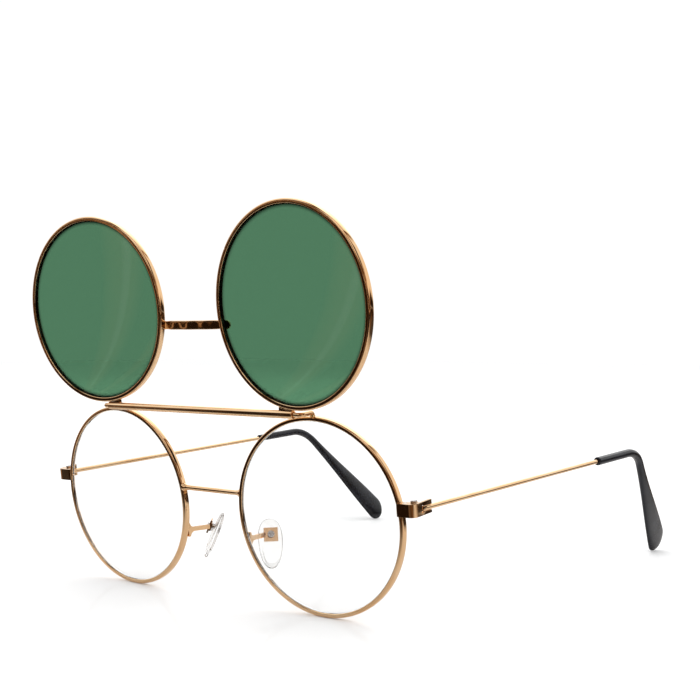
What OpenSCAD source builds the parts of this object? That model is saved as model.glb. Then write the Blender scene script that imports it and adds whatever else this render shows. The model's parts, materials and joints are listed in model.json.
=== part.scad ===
// Round wire spectacles with clear lenses and a flip-up pair of tinted lenses.
// The front faces -Y, the temples run towards +Y, X is across and Z is up. Sizes are in millimetres.
// The spectacles stand on the bottoms of both rims and on both temple tips, at Z = 0, with the tinted pair up.

/* [Front] */
// Diameter of clear lens that shows inside a rim
eye_size = 50; // [46:1:52]
// Gap between the two rims, where the nose goes
nose_gap = 20.3; // [18:0.1:23]
// Forward lean of the front as it stands on a table, in degrees
front_lean = 6.5; // [4:0.1:8]
// Turn of each lens about its own upright line, in degrees
wrap = 2.7; // [0:0.1:4]
// Height of the bridge wire above the centres of the lenses
bridge_rise = 4.6; // [3:0.1:8]
// Diameter of the bridge wire
bridge_d = 1.4; // [1.2:0.1:1.8]

/* [Rims] */
// Radial thickness of a rim
rim_thick = 1.15; // [1:0.05:1.4]
// Depth of a rim, front to back
rim_depth = 1.9; // [1.7:0.1:2.4]
// Radial thickness of a flip rim
flip_rim_thick = 1.2; // [1:0.05:1.4]
// Depth of a flip rim, front to back
flip_rim_depth = 2; // [1.8:0.1:2.2]
// Thickness of every lens
lens_thick = 1.3; // [1.2:0.1:1.6]
// Radius of the curve of every lens
lens_curve_r = 180; // [140:5:400]

/* [Flip hinge] */
// Distance of the hinge line in front of the rims
hinge_forward = 4.4; // [4.2:0.1:5]
// Height of the hinge line above the tops of the rims
hinge_rise = 0.9; // [0.9:0.05:1.2]
// Outer diameter of the hinge tube
tube_d = 2.1; // [2:0.05:2.2]
// Length of the hinge tube
tube_len = 68.8; // [60:0.1:70]
// Diameter of the rod that the tube turns on
rod_d = 1.2; // [1:0.05:1.3]

/* [Temples] */
// Angle between a temple and the square of the front, in degrees
pantoscopic = 3.4; // [2:0.1:5]
// Outward splay of an open temple, in degrees
splay = 1; // [0:0.1:2]
// Diameter of the temple wire
wire_d = 1.3; // [1.2:0.05:1.4]
// Distance from the temple hinge to the start of the tip
tip_start = 87.9; // [80:0.1:95]
// Distance from the start of the tip to the corner of its bend
tip_to_bend = 25.2; // [20:0.1:30]
// Bend of the tip down behind the ear, in degrees
ear_bend = 48.6; // [40:0.1:55]
// Turn of the bent leg in towards the head, in degrees
ear_inset = 14.5; // [5:0.1:20]
// Centreline radius of the bend
ear_bend_r = 14; // [10:1:20]
// Width of the tip at its paddle end
paddle_w = 9.0; // [6:0.1:10]

/* [Nose pads] */
// Length of a nose pad
pad_len = 13.8; // [12:0.1:15]
// Width of a nose pad
pad_w = 6.6; // [6:0.1:8]
// Thickness of a nose pad at its middle
pad_thick = 2.2; // [2:0.1:3]

/* [Hidden] */
$fn = 96;

LEFT = -1;
RIGHT = 1;

// Rims and lenses
rim_r_in = eye_size / 2;
rim_r_out = rim_r_in + rim_thick;
lens_x = nose_gap / 2 + rim_r_out;
flip_r_out = rim_r_out - 0.3;
flip_r_in = flip_r_out - flip_rim_thick;
corner_r = 0.35;          // rounding along the edges of a rim
groove_deep = 0.5;        // V groove inside a rim that holds the lens
groove_half = 0.5;
lens_fit = 0.06;          // gap between the bevel of a lens and its groove
lens_land = 0.12;         // flat beside the bevel, clear of the rim
arc_steps = 12;

// Height of the middle of the front above the table
lens_z = rim_r_out * cos(front_lean) + rim_depth / 2 * sin(front_lean);

// Flip hinge and flip rims, in the frame of the front
hinge_z = rim_r_out + hinge_rise;
flip_z = hinge_z + flip_r_out + 1.1;
rod_fit = 0.05;
rod_arm_x = tube_len / 2 + 2.4;
tab_len = 4.4;
tab_thick = 1.1;
seam_angle = 35;          // place of the wire's butt joint on a flip rim
seam_w = 0.16;

// Temple hinge, in the frame of the front
axis_x = lens_x + rim_r_out + 2.2;
axis_y = 2.3;
axis_z = 4.3;
barrel_r = 1.05;
barrel_gap = 0.04;
plate_h = 3.3;            // height of the end piece and of the temple leaf
plate_t = 0.75;
plate_x = 1.2;            // from the hinge axis to the inner face of the leaf
butt_y = -1.1;            // where the end piece meets the open leaf
butt_gap = 0.05;
leaf_len = 4.6;
leaf_mouth = 0.95;        // half height of the wedge cut where the wire begins
screw_r = 0.45;
screw_fit = 0.05;
screw_head_r = 0.85;
screw_head_h = 0.45;
turn_x = 0.1;             // centre of the end piece's round corner
turn_y = -1.0;
front_plate_end = -3.5;   // inner end of the end piece, over the rim
wire_x = 1.35;
wire_start = 2.2;

// Temple tip
tip_r = 1.22;             // round part of the tip
tip_thin = 0.95;          // half thickness of the paddle
paddle_half = paddle_w / 2;
paddle_grow = 42;         // length over which the tip widens
bore_r = 0.78;
core_past_bend = 20;      // length of wire core beyond the bend
tip_sides = 20;
bend_arc = ear_bend_r * ear_bend * PI / 180;
bend_tangent = ear_bend_r * tan(ear_bend / 2);
straight_len = tip_to_bend - bend_tangent;

// The bent leg is as long as it takes for the paddle to stand on the table
temple_pitch = front_lean - pantoscopic;
corner_dist = tip_start + tip_to_bend;
corner_z = lens_z + axis_y * sin(front_lean) + axis_z * cos(front_lean)
    + corner_dist * cos(splay) * sin(temple_pitch);
leg_fall = sin(ear_bend) * cos(ear_inset) * cos(temple_pitch) - cos(ear_bend) * sin(temple_pitch);
leg_len = (corner_z - paddle_half) / leg_fall;
leg_straight = leg_len - bend_tangent;
tip_len = straight_len + bend_arc + leg_straight + paddle_half;

// The origin is under the middle of the box around the whole object
back_reach = (axis_y * cos(front_lean) - axis_z * sin(front_lean))
    + corner_dist * cos(temple_pitch)
    + leg_len * (cos(ear_bend) * cos(temple_pitch) + sin(ear_bend) * cos(ear_inset) * sin(temple_pitch))
    + paddle_half;
front_reach = flip_z * sin(front_lean) + (hinge_forward + flip_rim_depth / 2) * cos(front_lean)
    + norm([flip_r_out * sin(front_lean), flip_r_out * sin(wrap) * cos(front_lean)]);
front_y = -(back_reach - front_reach) / 2;

// Nose pads: the middle of the right pad's clip plate, and how the plate is turned
pad_at = [12, 8.2, -8.7];
pad_lean_back = 20;       // of the top
pad_lean_in = 18;         // of the top
pad_splay = 38;           // of the face, from square across
pad_plate_w = 3.8;
pad_plate_t = 0.5;
pad_lip = 0.7;
pad_boss_h = 0.9;
pad_screw_r = 0.5;
pad_rise = 4.9;           // of the pad's top above its screw
pad_lip_t = 0.4;
arm_w = 1.25;             // height of the flat arm
arm_thick = 0.8;
arm_foot = 1.9;           // half height of its foot
arm_drop = 0.55;          // how far the arm falls from the rim to the plate
arm_root_z = -8;
arm_root = [lens_x - sqrt(pow(rim_r_in + rim_thick / 2, 2) - arm_root_z * arm_root_z),
    rim_depth / 2 * cos(wrap) - (rim_r_in + rim_thick) * sin(wrap) + 0.1, arm_root_z];
arm_end = [pad_at[0] - 1.15, pad_at[1] - 1.3];  // on the plate's front edge
arm_slant = atan2(arm_root[0] - arm_end[0], arm_end[1] - arm_root[1]);
arm_len = norm([arm_root[0] - arm_end[0], arm_end[1] - arm_root[1]]);

// ---- Frames and shared shapes ----

// The frame of the front: its middle is between the lenses, and it leans forward
module front_frame() {
    translate([0, front_y, lens_z]) rotate([front_lean, 0, 0]) children();
}

// A part made for the right, on either side
module on_side(side) {
    mirror([side == LEFT ? 1 : 0, 0, 0]) children();
}

// The axis of a lens of the frame, with +Z of the child towards the front
module lens_place(side) {
    translate([side * lens_x, 0, 0]) rotate([0, 0, side * wrap]) rotate([90, 0, 0]) children();
}

// The axis of a tinted lens while the flip is up, with +Z of the child towards the back
module flip_place(side) {
    translate([side * lens_x, -hinge_forward, flip_z]) rotate([0, 0, -side * wrap])
        rotate([-90, 0, 0]) children();
}

// The temple hinge of the right side
module hinge_place() {
    translate([axis_x, axis_y, axis_z]) children();
}

// The line of the right temple's wire, along +Y of the child
module temple_line() {
    translate([wire_x, 0, 0]) rotate([-pantoscopic, 0, 0]) rotate([0, 0, -splay]) children();
}

// The right pad's clip plate, with the child's Y up and its Z towards the nose
module pad_place() {
    translate(pad_at) rotate([-pad_lean_back, -pad_lean_in, 0]) rotate([0, 0, -90 - pad_splay])
        rotate([90, 0, 0]) children();
}

// Points of an arc about [x, y]
function arc(x, y, r, from, to, steps) =
    [for (i = [0:steps]) let (a = from + (to - from) * i / steps) [x + r * cos(a), y + r * sin(a)]];

// Half section of a rim, with the groove for the lens inside
module rim_profile(r_in, r_out, depth) {
    h = depth / 2;
    k = corner_r;
    polygon(concat(
        arc(r_out - k, -h + k, k, -90, 0, 4),
        arc(r_out - k, h - k, k, 0, 90, 4),
        arc(r_in + k / 2, h - k / 2, k / 2, 90, 180, 2),
        [[r_in, groove_half], [r_in + groove_deep, 0], [r_in, -groove_half]],
        arc(r_in + k / 2, -h + k / 2, k / 2, 180, 270, 2)));
}

// Forward bulge of a lens surface at a distance r from its axis, over its edge at r_edge
function bulge(r, r_edge) =
    sqrt(lens_curve_r * lens_curve_r - r * r) - sqrt(lens_curve_r * lens_curve_r - r_edge * r_edge);

// A curved lens with a bevelled edge, for a rim of inner radius r_in
module lens(r_in) {
    r_edge = r_in - lens_land;
    half = lens_thick / 2;
    tip = r_in + groove_deep - lens_fit;
    front = [for (i = [0:arc_steps]) let (r = r_edge * i / arc_steps) [r, bulge(r, r_edge) + half]];
    back = [for (i = [arc_steps:-1:0]) let (r = r_edge * i / arc_steps) [r, bulge(r, r_edge) - half]];
    land = groove_half - lens_fit;
    rotate_extrude() polygon(concat(front, [[r_edge, land], [tip, 0], [r_edge, -land]], back));
}

// A closed skin over rings of points, all with the same number of points
module skin(rings) {
    n = len(rings[0]);
    m = len(rings);
    sides = [for (i = [0:m - 2], j = [0:n - 1]) let (k = (j + 1) % n)
        each [[i * n + j, i * n + k, (i + 1) * n + k], [i * n + j, (i + 1) * n + k, (i + 1) * n + j]]];
    ends = [[for (j = [n - 1:-1:0]) j], [for (j = [0:n - 1]) (m - 1) * n + j]];
    polyhedron(points = [for (ring = rings) each ring], faces = concat(sides, ends));
}

// ---- Frame ----

module rim(side) {
    color("goldenrod") front_frame() difference() {
        lens_place(side) rotate_extrude() rim_profile(rim_r_in, rim_r_out, rim_depth);
        // The rim is split inside its lock, so that the lens goes in
        on_side(side) translate([lens_x + rim_r_in - 3, -4, axis_z - 0.1]) cube([6, 8, 0.2]);
    }
}

module clear_lens(side) {
    color("whitesmoke", 0.3) front_frame() lens_place(side) lens(rim_r_in);
}

module bridge_wire() {
    bridge_y = -rim_r_out * sin(wrap);
    reach = nose_gap / 2 + 1.2;
    color("goldenrod") front_frame() difference() {
        translate([-reach, bridge_y, bridge_rise]) rotate([0, 90, 0]) cylinder(d = bridge_d, h = 2 * reach);
        for (side = [LEFT, RIGHT])
            lens_place(side) cylinder(r = rim_r_out, h = 2 * rim_depth, center = true);
    }
}

// Outline of the end piece seen from above: a strip over the rim that turns back to the hinge
module end_piece_outline() {
    polygon(concat(
        [[front_plate_end, turn_y - plate_x + 0.1], [front_plate_end, turn_y - plate_x - plate_t + 0.4],
         [front_plate_end + 0.3, turn_y - plate_x - plate_t + 0.1]],
        arc(turn_x, turn_y, plate_x + plate_t - turn_x, -90, 0, 10),
        [[plate_x + plate_t, butt_y + 0.1], [plate_x, butt_y + 0.1]],
        arc(turn_x, turn_y, plate_x - turn_x, 0, -90, 10)));
}

// The barrels on one half of the hinge, from low to high, with a web towards the plate
module hinge_barrel(low, high, web_from, web_size) {
    translate([0, 0, low]) difference() {
        union() {
            cylinder(r = barrel_r, h = high - low);
            translate(web_from) cube([web_size[0], web_size[1], high - low]);
        }
        translate([0, 0, -1]) cylinder(r = screw_r + screw_fit, h = high - low + 2);
    }
}

module end_piece(side) {
    third = plate_h / 6;
    half = plate_h / 2;
    color("goldenrod") front_frame() on_side(side) hinge_place() union() {
        difference() {
            translate([0, 0, -half]) linear_extrude(plate_h) end_piece_outline();
            translate([-3, butt_y - butt_gap, -half - 1]) cube([6, 3, plate_h + 2]);
        }
        for (low = [-half, third + barrel_gap / 2])
            hinge_barrel(low, low + half - third - barrel_gap / 2, [-0.8, -2.12, 0], [1.9, 1.6, 0]);
    }
}

// The two halves of the rim's lock, drawn together by the rim screw behind the end piece
module rim_lock(side) {
    block_w = 2.7;
    block_h = 1.45;
    color("goldenrod") front_frame() difference() {
        on_side(side) hinge_place() for (low = [0.1, -0.1 - block_h])
            translate([-1.1 - block_w, -2.0, low]) cube([block_w, 1.9, block_h]);
        lens_place(side) cylinder(r = rim_r_out + 0.01, h = 3 * rim_depth, center = true);
        on_side(side) hinge_place() rim_screw_line() translate([0, 0, -3]) cylinder(r = screw_r + screw_fit, h = 6);
    }
}

module rim_screw_line() {
    translate([-1.75, -1.05, 0]) children();
}

// A slotted screw with its head down, its shank length long
module slotted_screw(r, head_r, head_h, length) {
    difference() {
        union() {
            cylinder(r = r, h = length);
            translate([0, 0, length]) cylinder(r = head_r, h = head_h);
        }
        translate([-head_r - 1, -0.13, length + head_h - 0.22]) cube([2 * head_r + 2, 0.26, 1]);
    }
}

module rim_screw(side) {
    color("silver") front_frame() on_side(side) hinge_place() rim_screw_line() mirror([0, 0, 1])
        translate([0, 0, -1.55]) slotted_screw(screw_r, 0.6, 0.3, 3.1);
}

module temple_screw(side) {
    color("silver") front_frame() on_side(side) hinge_place()
        translate([0, 0, -plate_h / 2]) slotted_screw(screw_r, screw_head_r, screw_head_h, plate_h);
}

// ---- Nose pads ----

module pad_arm(side) {
    color("goldenrod") front_frame() on_side(side) difference() {
        union() {
            // Flat arm with a fan-shaped foot on the back of the rim
            translate(arm_root) rotate([0, 0, arm_slant]) rotate([90, 0, 90])
                linear_extrude(arm_thick, center = true) polygon(concat(
                    [[0, -arm_foot], [0, arm_foot]],
                    arc(arm_foot, arm_foot, arm_foot - arm_w / 2, 180, 270, 6),
                    [[arm_len, arm_w / 2 - arm_drop], [arm_len, -arm_w / 2 - arm_drop]],
                    arc(arm_foot, -arm_foot, arm_foot - arm_w / 2, 90, 180, 6)));
            // Clip plate with two folded lips that steady the pad's boss
            pad_place() translate([-pad_plate_w / 2, -pad_plate_w / 2, -pad_plate_t / 2])
                cube([pad_plate_w, pad_plate_w, pad_plate_t]);
            pad_place() for (edge = [-pad_plate_w / 2, pad_plate_w / 2 - pad_lip_t])
                translate([edge, -1.1, 0]) cube([pad_lip_t, 2.2, pad_lip]);
        }
        pad_place() translate([0, 0, -3]) cylinder(r = pad_screw_r + screw_fit, h = 6);
    }
}

// Half width of the pad's drop outline at an angle, and its domed layers
function pad_outline(a) = let (long = sin(a))
    [pad_w / 2 * cos(a) * (1 + 0.16 * long), pad_len / 2 * long];
function pad_ring(level, grow) = [for (j = [0:23]) let (p = pad_outline(-360 * j / 24) * grow)
    [p[0], p[1] - pad_len / 2 + pad_rise, level]];

module nose_pad(side) {
    lift = pad_plate_t / 2 + pad_boss_h;
    color("whitesmoke", 0.6) front_frame() on_side(side) pad_place() difference() {
        union() {
            translate([0, 0, pad_plate_t / 2 + 0.06]) cylinder(r = 1.3, h = pad_boss_h + 0.3);
            skin([for (i = [0:8]) let (t = -cos(180 * (i + 0.35) / 8.7))
                pad_ring(lift + pad_thick * (t + 1) / 2, pow(1 - t * t * 0.98, 0.35))]);
        }
        translate([0, 0, -1]) cylinder(r = pad_screw_r + screw_fit, h = lift + 2);
    }
}

module pad_screw(side) {
    depth = pad_plate_t + pad_boss_h + 0.9;
    color("silver") front_frame() on_side(side) pad_place() mirror([0, 0, 1])
        translate([0, 0, -depth + pad_plate_t / 2]) slotted_screw(pad_screw_r, 0.95, 0.5, depth);
}

// ---- Flip ----

// The rod runs through the tube, turns back at both ends and stands on the tops of the rims
module flip_hinge_rod() {
    r = rod_d / 2;
    top_y = 0;
    color("goldenrod") front_frame() union() {
        translate([-rod_arm_x, -hinge_forward, hinge_z]) rotate([0, 90, 0]) cylinder(r = r, h = 2 * rod_arm_x);
        for (side = [LEFT, RIGHT]) {
            translate([side * rod_arm_x, -hinge_forward, hinge_z]) sphere(r = r);
            translate([side * rod_arm_x, -hinge_forward, hinge_z]) rotate([-90, 0, 0])
                cylinder(r = r, h = hinge_forward + top_y);
            translate([side * rod_arm_x, top_y, hinge_z]) sphere(r = r);
            difference() {
                translate([side * rod_arm_x, top_y, hinge_z - 1.2]) cylinder(r = r, h = 1.2);
                lens_place(side) cylinder(r = rim_r_out + 0.01, h = 3 * rim_depth, center = true);
            }
        }
    }
}

module flip_hinge_tube() {
    color("goldenrod") front_frame() translate([-tube_len / 2, -hinge_forward, hinge_z]) rotate([0, 90, 0])
        difference() {
            cylinder(d = tube_d, h = tube_len);
            translate([0, 0, -1]) cylinder(r = rod_d / 2 + rod_fit, h = tube_len + 2);
        }
}

// The tab that joins the end of the tube to its flip rim
module flip_tab(side) {
    $fn = 720;
    color("goldenrod") front_frame() difference() {
        on_side(side) translate([tube_len / 2 - tab_len, -hinge_forward - tab_thick / 2, hinge_z])
            cube([tab_len, tab_thick, 3]);
        translate([-tube_len, -hinge_forward, hinge_z]) rotate([0, 90, 0])
            cylinder(d = tube_d + 0.02, h = 2 * tube_len);
        flip_place(side) cylinder(r = flip_r_out + 0.01, h = 4 * flip_rim_depth, center = true);
        on_side(side) translate([lens_x - flip_r_out - 20, -hinge_forward - 2, flip_z - flip_r_out + 1.2])
            cube([60, 4, 20]);
    }
}

module flip_rim(side) {
    color("goldenrod") front_frame() difference() {
        flip_place(side) rotate_extrude() rim_profile(flip_r_in, flip_r_out, flip_rim_depth);
        // Fine butt joint where the wire of the rim closes on itself
        on_side(side) translate([lens_x, -hinge_forward, flip_z]) rotate([0, seam_angle - 180, 0])
            translate([flip_r_out - 0.25, -3, -seam_w / 2]) cube([1, 6, seam_w]);
    }
}

module tinted_lens(side) {
    color("seagreen", 0.8) front_frame() flip_place(side) lens(flip_r_in);
}

// A thin strip, bowed in plan, on the front faces of the flip rims once they are down
module flip_bridge() {
    strip_h = 2.4;
    strip_t = 0.7;
    half_span = lens_x - sqrt(flip_r_in * flip_r_in - bridge_rise * bridge_rise) + 1.4;
    strip_y = -hinge_forward + flip_rim_depth / 2 + flip_r_out * sin(wrap) + 0.12;
    bow = 0.9;
    bow_r = (half_span * half_span + bow * bow) / (2 * bow);
    sweep = asin(half_span / bow_r);
    color("goldenrod") front_frame() difference() {
        translate([0, strip_y + bow_r - bow, flip_z - bridge_rise - strip_h / 2]) linear_extrude(strip_h)
            polygon(concat(arc(0, 0, bow_r, -90 - sweep, -90 + sweep, 16),
                           arc(0, 0, bow_r - strip_t, -90 + sweep, -90 - sweep, 16)));
        // Its ends are dressed flat so that they lie on the backs of the rims
        for (side = [LEFT, RIGHT]) flip_place(side)
            translate([-30, -30, -flip_rim_depth / 2 - 0.005]) cube([60, 60, flip_rim_depth + 0.01]);
    }
}

// ---- Temples ----

module temple_leaf(side) {
    third = plate_h / 6;
    half = plate_h / 2;
    color("goldenrod") front_frame() on_side(side) hinge_place() union() {
        difference() {
            translate([plate_x, butt_y + butt_gap, -half]) cube([plate_t, leaf_len - butt_y - butt_gap, plate_h]);
            temple_line() translate([-2, wire_start - 0.3, -wire_d / 2 - 0.04])
                cube([4, leaf_len, wire_d + 0.08]);
            // Wedge-shaped mouth of the slot, open towards the hinge
            temple_line() rotate([0, 90, 0]) translate([0, 0, -2]) linear_extrude(4)
                polygon([[-leaf_mouth, 0.6], [leaf_mouth, 0.6], [0, wire_start + 2.4]]);
        }
        hinge_barrel(-third + barrel_gap / 2, third - barrel_gap / 2, [0, -0.2, 0], [plate_x + 0.05, 1.15, 0]);
    }
}

// The wire of the temple, which runs on inside the tip as its core
module temple_wire(side) {
    r = wire_d / 2;
    color("goldenrod") front_frame() on_side(side) hinge_place() temple_line() union() {
        translate([0, wire_start + 1.2, 0]) rotate([-90, 0, 0])
            cylinder(r = r, h = tip_start + straight_len - wire_start - 1.2);
        translate([0, wire_start, 0]) rotate([-90, 0, 0]) cylinder(r1 = 0.15, r2 = r, h = 1.2);
        rotate([0, ear_inset, 0]) translate([0, tip_start + straight_len, -ear_bend_r]) rotate([0, -90, 0])
            wire_bend(r);
    }
}

// The bend of the core and the straight end after it, in the plane of the tip
module wire_bend(r) {
    translate([ear_bend_r, 0, 0]) sphere(r = r);
    rotate_extrude(angle = ear_bend) translate([ear_bend_r, 0]) circle(r = r);
    rotate([0, 0, ear_bend]) translate([ear_bend_r, 0, 0]) {
        sphere(r = r);
        rotate([-90, 0, 0]) cylinder(r = r, h = core_past_bend);
    }
}

// The line of the tip in its own plane: along, up, and the angle it has turned down
function tip_turn(s) = s < straight_len ? 0
    : s < straight_len + bend_arc ? (s - straight_len) / bend_arc * ear_bend : ear_bend;
function tip_point(s) = s < straight_len ? [s, 0]
    : s < straight_len + bend_arc
        ? [straight_len + ear_bend_r * sin(tip_turn(s)), -ear_bend_r * (1 - cos(tip_turn(s)))]
        : [straight_len + ear_bend_r * sin(ear_bend) + (s - straight_len - bend_arc) * cos(ear_bend),
           -ear_bend_r * (1 - cos(ear_bend)) - (s - straight_len - bend_arc) * sin(ear_bend)];
function smooth(t) = let (u = max(0, min(1, t))) u * u * (3 - 2 * u);
function tip_cap(s) = let (u = max(0, (s - tip_len + paddle_half) / paddle_half)) sqrt(max(0.0004, 1 - u * u));
// The tip widens along a line with soft ends
function tip_widen(t) = 0.5 * min(1, max(0, t)) + 0.5 * smooth(t);
function tip_half_up(s) = tip_cap(s)
    * (tip_r + (paddle_half - tip_r) * tip_widen((s - tip_len + paddle_half + paddle_grow) / paddle_grow));
function tip_half_across(s) = (tip_r + (tip_thin - tip_r) * smooth((s - straight_len) / 30)) * sqrt(tip_cap(s));

// A ring of the tip at a distance s along it, with half sizes up and across
function tip_ring(s, up, across) = let (p = tip_point(s), a = tip_turn(s))
    [for (j = [0:tip_sides - 1]) let (t = 360 * j / tip_sides, u = up * cos(t))
        [across * sin(t), p[0] + u * sin(a), p[1] + u * cos(a)]];

module temple_tip(side) {
    core_end = straight_len + bend_arc + core_past_bend + 0.3;
    inner = [for (i = [0:12]) core_end * (1 - i / 12)];
    arc_end = straight_len + bend_arc;
    outer = concat([0.25, straight_len * 0.5], [for (i = [0:8]) straight_len + bend_arc * i / 8],
        [for (i = [1:9]) arc_end + (leg_straight - 0.5) * i / 9],
        [for (i = [0:5]) tip_len - paddle_half + paddle_half * sin(90 * i / 5)]);
    color("dimgray") front_frame() on_side(side) hinge_place() temple_line()
        translate([0, tip_start, 0]) rotate([0, ear_inset, 0])
            skin(concat([for (s = inner) tip_ring(s, bore_r, bore_r)],
                [tip_ring(0, tip_r - 0.15, tip_r - 0.15)],
                [for (s = outer) tip_ring(s, tip_half_up(s), tip_half_across(s))]));
}

rim(LEFT);  // rim_left
rim(RIGHT);  // rim_right
clear_lens(LEFT);  // clear_lens_left
clear_lens(RIGHT);  // clear_lens_right
bridge_wire();
end_piece(LEFT);  // end_piece_left
end_piece(RIGHT);  // end_piece_right
rim_lock(LEFT);  // rim_lock_left
rim_lock(RIGHT);  // rim_lock_right
rim_screw(LEFT);  // rim_screw_left
rim_screw(RIGHT);  // rim_screw_right
temple_screw(LEFT);  // temple_screw_left
temple_screw(RIGHT);  // temple_screw_right
pad_arm(LEFT);  // pad_arm_left
pad_arm(RIGHT);  // pad_arm_right
pad_screw(LEFT);  // pad_screw_left
pad_screw(RIGHT);  // pad_screw_right
flip_hinge_rod();
flip_rim(LEFT);  // flip_rim_left
flip_rim(RIGHT);  // flip_rim_right
tinted_lens(LEFT);  // tinted_lens_left
tinted_lens(RIGHT);  // tinted_lens_right
flip_bridge();
flip_hinge_tube();
flip_tab(LEFT);  // flip_tab_left
flip_tab(RIGHT);  // flip_tab_right
temple_leaf(LEFT);  // temple_leaf_left
temple_leaf(RIGHT);  // temple_leaf_right
temple_wire(LEFT);  // temple_wire_left
temple_wire(RIGHT);  // temple_wire_right
temple_tip(LEFT);  // temple_tip_left
temple_tip(RIGHT);  // temple_tip_right
nose_pad(LEFT);  // nose_pad_left
nose_pad(RIGHT);  // nose_pad_right
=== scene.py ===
# %% [markdown]
# # Flip-up sunglasses in polished gold wire
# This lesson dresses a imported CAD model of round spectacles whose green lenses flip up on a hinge.
# The CAD fixes every place and size. Here each visible piece is made again as a smooth surface,
# and gets a finish: gold plate, clear and tinted lenses, soft pads, steel screws and black tips.

# %% Load the CAD frame
import json
import math

import bmesh
import bpy
import numpy as np
from mathutils import Matrix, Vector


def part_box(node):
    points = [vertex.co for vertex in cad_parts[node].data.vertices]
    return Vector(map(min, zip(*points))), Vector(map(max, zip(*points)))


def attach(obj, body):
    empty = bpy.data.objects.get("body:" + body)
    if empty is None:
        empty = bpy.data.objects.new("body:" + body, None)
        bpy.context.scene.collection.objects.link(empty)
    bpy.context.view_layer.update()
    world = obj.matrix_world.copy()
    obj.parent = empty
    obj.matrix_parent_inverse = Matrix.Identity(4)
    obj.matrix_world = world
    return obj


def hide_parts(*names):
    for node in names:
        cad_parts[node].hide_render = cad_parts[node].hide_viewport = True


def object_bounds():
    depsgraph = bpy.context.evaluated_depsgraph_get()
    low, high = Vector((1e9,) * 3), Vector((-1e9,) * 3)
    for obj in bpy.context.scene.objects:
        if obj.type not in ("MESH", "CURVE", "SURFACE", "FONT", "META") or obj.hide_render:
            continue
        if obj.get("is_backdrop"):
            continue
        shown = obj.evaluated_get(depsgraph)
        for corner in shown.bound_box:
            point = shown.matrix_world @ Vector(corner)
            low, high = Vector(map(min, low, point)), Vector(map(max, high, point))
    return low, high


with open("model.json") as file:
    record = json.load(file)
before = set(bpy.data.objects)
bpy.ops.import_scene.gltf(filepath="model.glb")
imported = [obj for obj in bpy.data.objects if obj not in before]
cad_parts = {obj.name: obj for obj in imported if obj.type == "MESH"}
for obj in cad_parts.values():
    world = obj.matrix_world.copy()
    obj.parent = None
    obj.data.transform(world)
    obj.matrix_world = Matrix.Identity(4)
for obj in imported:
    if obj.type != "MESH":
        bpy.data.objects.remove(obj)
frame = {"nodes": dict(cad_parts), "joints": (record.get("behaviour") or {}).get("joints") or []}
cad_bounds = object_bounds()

# %% [markdown]
# ## Where the front is
# A spectacle front leans forward on the table, so nothing on it is square to the floor. Instead of
# turning objects, every point is worked out in the front's own directions: across, back and up.
# The rims give the middle of the front, and the temple hinge's axis gives its up direction.

# %% The front's own directions, in millimetres
MM = 0.001
joint = {j["name"]: j for j in frame["joints"]}


def middle(node):
    """Middle of a CAD node's box, in metres."""
    low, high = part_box(node)
    return (np.array(low) + np.array(high)) / 2


ACROSS = np.array([1.0, 0.0, 0.0])
UP = np.array(joint["temple_fold_right"]["axis"], dtype=float)
UP /= np.linalg.norm(UP)
BACK = np.cross(UP, ACROSS)
FRONT_MIDDLE = (middle("rim_left") + middle("rim_right")) / 2
SIDES = {"left": -1.0, "right": 1.0}


def on_front(points):
    """Points of the scene, in metres, from (across, back, up) in millimetres: middle + x*across + y*back
    + z*up."""
    p = np.asarray(points, dtype=float) * MM
    return FRONT_MIDDLE + p[..., :1] * ACROSS + p[..., 1:2] * BACK + p[..., 2:3] * UP


def to_front(point):
    """The (across, back, up) place of a point of the scene, in millimetres: its dot product with each
    direction."""
    d = (np.asarray(point, dtype=float) - FRONT_MIDDLE) / MM
    return np.array([d @ ACROSS, d @ BACK, d @ UP])


HINGE = to_front(joint["flip_up"]["pos_m"])
FOLD = to_front(joint["temple_fold_right"]["pos_m"])
PAD = to_front(joint["pad_swivel_right"]["pos_m"])
LENS_X = to_front(middle("rim_right"))[0]
FLIP_UP = to_front(middle("flip_rim_right"))[2]
print("lens at x", round(LENS_X, 2), "flip hinge", HINGE.round(2))
print("temple hinge", FOLD.round(2), "pad", PAD.round(2))

# %% [markdown]
# ## The camera
# A camera's place decides the perspective, and its lens only crops. It stands to the right of the
# front and a little above it, and looks slightly down. The shift lowers the glasses in the picture
# without tilting the camera any further.

# %% Camera
CAMERA_AT = on_front([0, 0, 0]) + np.array([235.6, -236.3, 45.2]) * MM
CAMERA_TURN = 38.69
CAMERA_DOWN = 4.43
CAMERA_LENS = 63.3
CAMERA_SHIFT = 0.12

camera = bpy.data.objects.new("camera", bpy.data.cameras.new("camera"))
camera.location = CAMERA_AT
camera.rotation_euler = (math.radians(90 - CAMERA_DOWN), 0, math.radians(CAMERA_TURN))
camera.data.lens = CAMERA_LENS
camera.data.sensor_width = 36
camera.data.shift_y = CAMERA_SHIFT
camera.data.clip_start = 0.01
bpy.context.scene.collection.objects.link(camera)
bpy.context.scene.camera = camera
print("camera at", CAMERA_AT.round(4))

# %% [markdown]
# ## Surfaces from arrays
# Almost everything on wire spectacles is a profile carried round a ring or along a wire. So there
# are two makers: one turns a profile round an axis, the other carries a section along a path. Both
# work out all their points at once as arrays, and one helper puts the result into a mesh.

# %% Mesh helper
def grid_faces(rows, columns, close_rows, close_columns):
    """Quads between neighbours (i, j) of a rows x columns grid, with each direction closed or open."""
    i = np.arange(rows if close_rows else rows - 1)
    j = np.arange(columns if close_columns else columns - 1)
    i, j = (a.ravel() for a in np.meshgrid(i, j, indexing="ij"))
    i2, j2 = (i + 1) % rows, (j + 1) % columns
    return np.stack([i * columns + j, i2 * columns + j, i2 * columns + j2, i * columns + j2], axis=1)


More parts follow.
